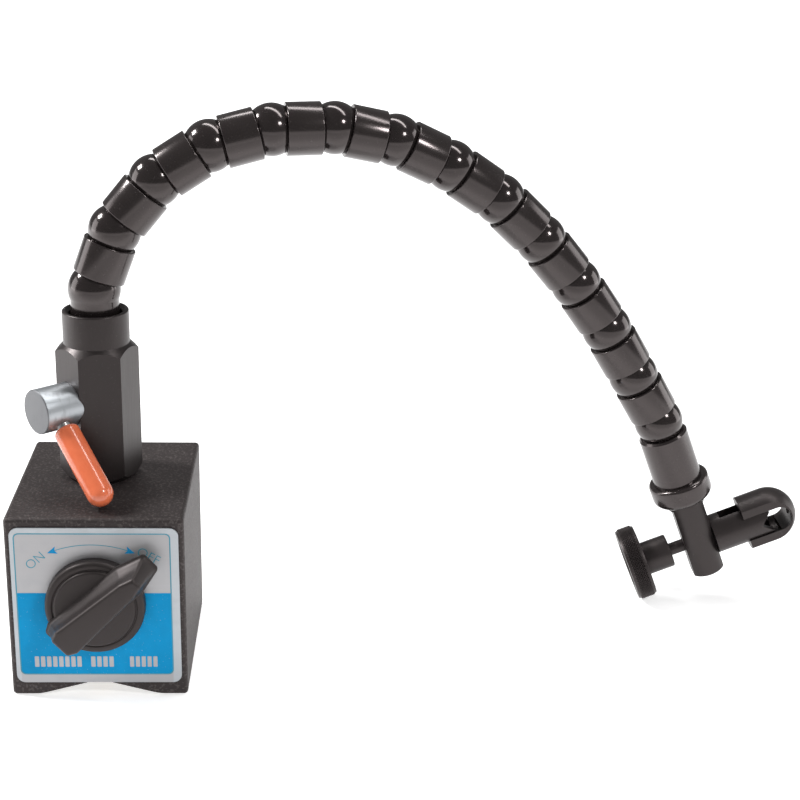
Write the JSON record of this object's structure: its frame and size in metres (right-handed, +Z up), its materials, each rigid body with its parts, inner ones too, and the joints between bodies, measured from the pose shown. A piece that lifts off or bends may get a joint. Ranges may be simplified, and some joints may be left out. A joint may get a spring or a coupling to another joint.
{
  "type": "flexible arm magnetic indicator holder",
  "caption": "Switchable magnetic base with a hexagonal post, lever-locked ball-and-sleeve flexible arm and a swivelling stem clamp with a thumb screw.",
  "frame": {"origin": "middle of the base's underside, in the plane of its two magnetic feet", "axes": "+Z up along the post; -Y towards the switch knob; +X towards the side that the arm reaches over"},
  "size_m": [0.2394, 0.089, 0.1636],
  "materials": {
    "base_paint": "black textured enamel",
    "divider_brass": "plain brass",
    "label": "brushed plate printed in blue",
    "knob_plastic": "black moulded plastic, satin",
    "inner_steel": "machined steel",
    "magnet": "sintered magnet, dark grey",
    "post_black": "blackened machined steel, semi-gloss",
    "lever_steel": "bright turned steel",
    "grip_vinyl": "glossy orange dipped vinyl",
    "rope_steel": "stranded steel wire rope",
    "ball_black": "polished black",
    "sleeve_black": "glossy black",
    "clamp_black": "blackened steel, satin"
  },
  "bodies": {
    "base": {"pole_left": "base_paint", "pole_right": "base_paint", "pole_divider": "divider_brass", "tie_dowels": "inner_steel", "front_bushing": "divider_brass", "rear_plug": "base_paint", "label_plate": "label", "post": "post_black", "post_stud": "inner_steel", "ball_01": "ball_black"},
    "switch": {"knob": "knob_plastic", "spindle": "inner_steel", "rear_journal": "inner_steel", "magnet": "magnet", "rotor_irons": "inner_steel", "knob_pin": "inner_steel"},
    "lever": {"cam_shaft": "lever_steel", "lever_rod": "lever_steel", "lever_grip": "grip_vinyl", "shaft_clip": "lever_steel"},
    "puller": {"pull_block": "inner_steel", "rope_socket": "inner_steel", "wire_rope": "rope_steel"},
    "sleeve_01": {"sleeve_01": "sleeve_black"},
    "ball_02": {"ball_02": "ball_black"},
    "sleeve_02": {"sleeve_02": "sleeve_black"},
    "ball_03": {"ball_03": "ball_black"},
    "sleeve_03": {"sleeve_03": "sleeve_black"},
    "ball_04": {"ball_04": "ball_black"},
    "sleeve_04": {"sleeve_04": "sleeve_black"},
    "ball_05": {"ball_05": "ball_black"},
    "sleeve_05": {"sleeve_05": "sleeve_black"},
    "ball_06": {"ball_06": "ball_black"},
    "sleeve_06": {"sleeve_06": "sleeve_black"},
    "ball_07": {"ball_07": "ball_black"},
    "sleeve_07": {"sleeve_07": "sleeve_black"},
    "ball_08": {"ball_08": "ball_black"},
    "sleeve_08": {"sleeve_08": "sleeve_black"},
    "ball_09": {"ball_09": "ball_black"},
    "sleeve_09": {"sleeve_09": "sleeve_black"},
    "ball_10": {"ball_10": "ball_black"},
    "sleeve_10": {"sleeve_10": "sleeve_black"},
    "ball_11": {"ball_11": "ball_black"},
    "sleeve_11": {"sleeve_11": "sleeve_black"},
    "ball_12": {"ball_12": "ball_black"},
    "sleeve_12": {"sleeve_12": "sleeve_black"},
    "ball_13": {"ball_13": "ball_black"},
    "sleeve_13": {"sleeve_13": "sleeve_black"},
    "ball_14": {"ball_14": "ball_black"},
    "end": {"end_tube": "sleeve_black", "collar_nut": "sleeve_black", "rope_ferrule": "inner_steel"},
    "clamp": {"clamp_body": "clamp_black"},
    "jaw": {"clamp_jaw": "clamp_black"},
    "hook": {"draw_hook": "clamp_black"},
    "screw": {"thumb_screw": "clamp_black", "thumb_head": "clamp_black"}
  },
  "joints": [
    {"name": "switch_turn", "type": "hinge", "parent": "base", "child": "switch", "pos_m": [0, -0.03, 0.0298], "axis": [0, -1, 0], "range_deg": [0, 90]},
    {"name": "lever_turn", "type": "hinge", "parent": "base", "child": "lever", "pos_m": [-0.00165, 0.004, 0.0789], "axis": [-0.7604, -0.6494, 0], "range_deg": [0, 120]},
    {"name": "rope_pull", "type": "slide", "parent": "base", "child": "puller", "axis": [0, 0, 1], "range_m": [0, 0.00087], "deforming": ["wire_rope"]},
    {"name": "arm_bend_01", "type": "hinge", "parent": "base", "child": "sleeve_01", "pos_m": [-0.00165, 0.004, 0.1114], "axis": [-0.1601, 0.9871, 0], "range_deg": [-48.6, 7.4]},
    {"name": "arm_swing_02", "type": "hinge", "parent": "sleeve_01", "child": "ball_02", "pos_m": [0.00462, 0.00502, 0.12831], "axis": [0.924, 0.1498, -0.3518], "range_deg": [-20, 20]},
    {"name": "arm_bend_02", "type": "hinge", "parent": "ball_02", "child": "sleeve_02", "pos_m": [0.00462, 0.00502, 0.12831], "axis": [0.1601, -0.9871, 0], "range_deg": [-8.6, 47.4]},
    {"name": "arm_swing_03", "type": "hinge", "parent": "sleeve_02", "child": "ball_03", "pos_m": [0.01608, 0.00688, 0.14214], "axis": [-0.7562, -0.1226, 0.6428], "range_deg": [-20, 20]},
    {"name": "arm_bend_03", "type": "hinge", "parent": "ball_03", "child": "sleeve_03", "pos_m": [0.01608, 0.00688, 0.14214], "axis": [-0.1601, 0.9871, 0], "range_deg": [-46.3, 9.7]},
    {"name": "arm_swing_04", "type": "hinge", "parent": "sleeve_03", "child": "ball_04", "pos_m": [0.03125, 0.00933, 0.15163], "axis": [0.5187, 0.0841, -0.8508], "range_deg": [-20, 20]},
    {"name": "arm_bend_04", "type": "hinge", "parent": "ball_04", "child": "sleeve_04", "pos_m": [0.03125, 0.00933, 0.15163], "axis": [0.1601, -0.9871, 0], "range_deg": [-9.9, 46.1]},
    {"name": "arm_swing_05", "type": "hinge", "parent": "sleeve_04", "child": "ball_05", "pos_m": [0.04858, 0.01214, 0.15588], "axis": [-0.2321, -0.0376, 0.972], "range_deg": [-20, 20]},
    {"name": "arm_bend_05", "type": "hinge", "parent": "ball_05", "child": "sleeve_05", "pos_m": [0.04858, 0.01214, 0.15588], "axis": [-0.1601, 0.9871, 0], "range_deg": [-41.2, 14.8]},
    {"name": "arm_swing_06", "type": "hinge", "parent": "sleeve_05", "child": "ball_06", "pos_m": [0.0664, 0.01503, 0.156], "axis": [0.0069, 0.0011, -1], "range_deg": [-20, 20]},
    {"name": "arm_bend_06", "type": "hinge", "parent": "ball_06", "child": "sleeve_06", "pos_m": [0.0664, 0.01503, 0.156], "axis": [0.1601, -0.9871, 0], "range_deg": [-15.1, 40.9]},
    {"name": "arm_swing_07", "type": "hinge", "parent": "sleeve_06", "child": "ball_07", "pos_m": [0.08381, 0.01786, 0.15209], "axis": [0.2136, 0.0346, 0.9763], "range_deg": [-20, 20]},
    {"name": "arm_bend_07", "type": "hinge", "parent": "ball_07", "child": "sleeve_07", "pos_m": [0.08381, 0.01786, 0.15209], "axis": [-0.1601, 0.9871, 0], "range_deg": [-41.3, 14.7]},
    {"name": "arm_swing_08", "type": "hinge", "parent": "sleeve_07", "child": "ball_08", "pos_m": [0.09986, 0.02046, 0.14423], "axis": [-0.4296, -0.0697, -0.9003], "range_deg": [-20, 20]},
    {"name": "arm_bend_08", "type": "hinge", "parent": "ball_08", "child": "sleeve_08", "pos_m": [0.09986, 0.02046, 0.14423], "axis": [0.1601, -0.9871, 0], "range_deg": [-19.3, 36.7]},
    {"name": "arm_swing_09", "type": "hinge", "parent": "sleeve_08", "child": "ball_09", "pos_m": [0.11455, 0.02284, 0.134], "axis": [0.5591, 0.0907, 0.8241], "range_deg": [-20, 20]},
    {"name": "arm_bend_09", "type": "hinge", "parent": "ball_09", "child": "sleeve_09", "pos_m": [0.11455, 0.02284, 0.134], "axis": [-0.1601, 0.9871, 0], "range_deg": [-37.4, 18.6]},
    {"name": "arm_swing_10", "type": "hinge", "parent": "sleeve_09", "child": "ball_10", "pos_m": [0.1274, 0.02492, 0.12148], "axis": [-0.6845, -0.111, -0.7206], "range_deg": [-20, 20]},
    {"name": "arm_bend_10", "type": "hinge", "parent": "ball_10", "child": "sleeve_10", "pos_m": [0.1274, 0.02492, 0.12148], "axis": [0.1601, -0.9871, 0], "range_deg": [-21.7, 34.3]},
    {"name": "arm_swing_11", "type": "hinge", "parent": "sleeve_10", "child": "ball_11", "pos_m": [0.13881, 0.02677, 0.10761], "axis": [0.7584, 0.123, 0.6401], "range_deg": [-20, 20]},
    {"name": "arm_bend_11", "type": "hinge", "parent": "ball_11", "child": "sleeve_11", "pos_m": [0.13881, 0.02677, 0.10761], "axis": [-0.1601, 0.9871, 0], "range_deg": [-32.3, 23.7]},
    {"name": "arm_swing_12", "type": "hinge", "parent": "sleeve_11", "child": "ball_12", "pos_m": [0.14916, 0.02845, 0.0929], "axis": [-0.8036, -0.1303, -0.5807], "range_deg": [-20, 20]},
    {"name": "arm_bend_12", "type": "hinge", "parent": "ball_12", "child": "sleeve_12", "pos_m": [0.14916, 0.02845, 0.0929], "axis": [0.1601, -0.9871, 0], "range_deg": [-24, 32]},
    {"name": "arm_swing_13", "type": "hinge", "parent": "sleeve_12", "child": "ball_13", "pos_m": [0.15847, 0.02996, 0.0775], "axis": [0.8416, 0.1365, 0.5225], "range_deg": [-20, 20]},
    {"name": "arm_bend_13", "type": "hinge", "parent": "ball_13", "child": "sleeve_13", "pos_m": [0.15847, 0.02996, 0.0775], "axis": [-0.1601, 0.9871, 0], "range_deg": [-28.8, 27.2]},
    {"name": "arm_swing_14", "type": "hinge", "parent": "sleeve_13", "child": "ball_14", "pos_m": [0.16757, 0.03144, 0.06198], "axis": [-0.8488, -0.1376, -0.5105], "range_deg": [-20, 20]},
    {"name": "arm_bend_14", "type": "hinge", "parent": "ball_14", "child": "end", "pos_m": [0.16757, 0.03144, 0.06198], "axis": [0.1601, -0.9871, 0], "range_deg": [-18.7, 37.3]},
    {"name": "clamp_swivel", "type": "hinge", "parent": "end", "child": "clamp", "pos_m": [0.17658, 0.0329, 0.0387], "axis": [0.3602, 0.0584, -0.9311], "continuous": true},
    {"name": "jaw_tilt", "type": "hinge", "parent": "clamp", "child": "jaw", "pos_m": [0.18367, 0.03405, 0.02036], "axis": [0.9314, 0.0346, 0.3625], "continuous": true},
    {"name": "screw_turn", "type": "hinge", "parent": "jaw", "child": "screw", "pos_m": [0.18367, 0.03405, 0.02036], "axis": [0.9314, 0.0346, 0.3625], "range_deg": [0, 1080]},
    {"name": "hook_draw", "type": "slide", "parent": "jaw", "child": "hook", "axis": [-0.9314, -0.0346, -0.3625], "range_m": [0, 0.00211]}
  ],
  "couplings": [
    {"joint": "rope_pull", "follows": "lever_turn", "m_per_rad": 0.0004135},
    {"joint": "hook_draw", "follows": "screw_turn", "m_per_rad": 0.00011141}
  ]
}
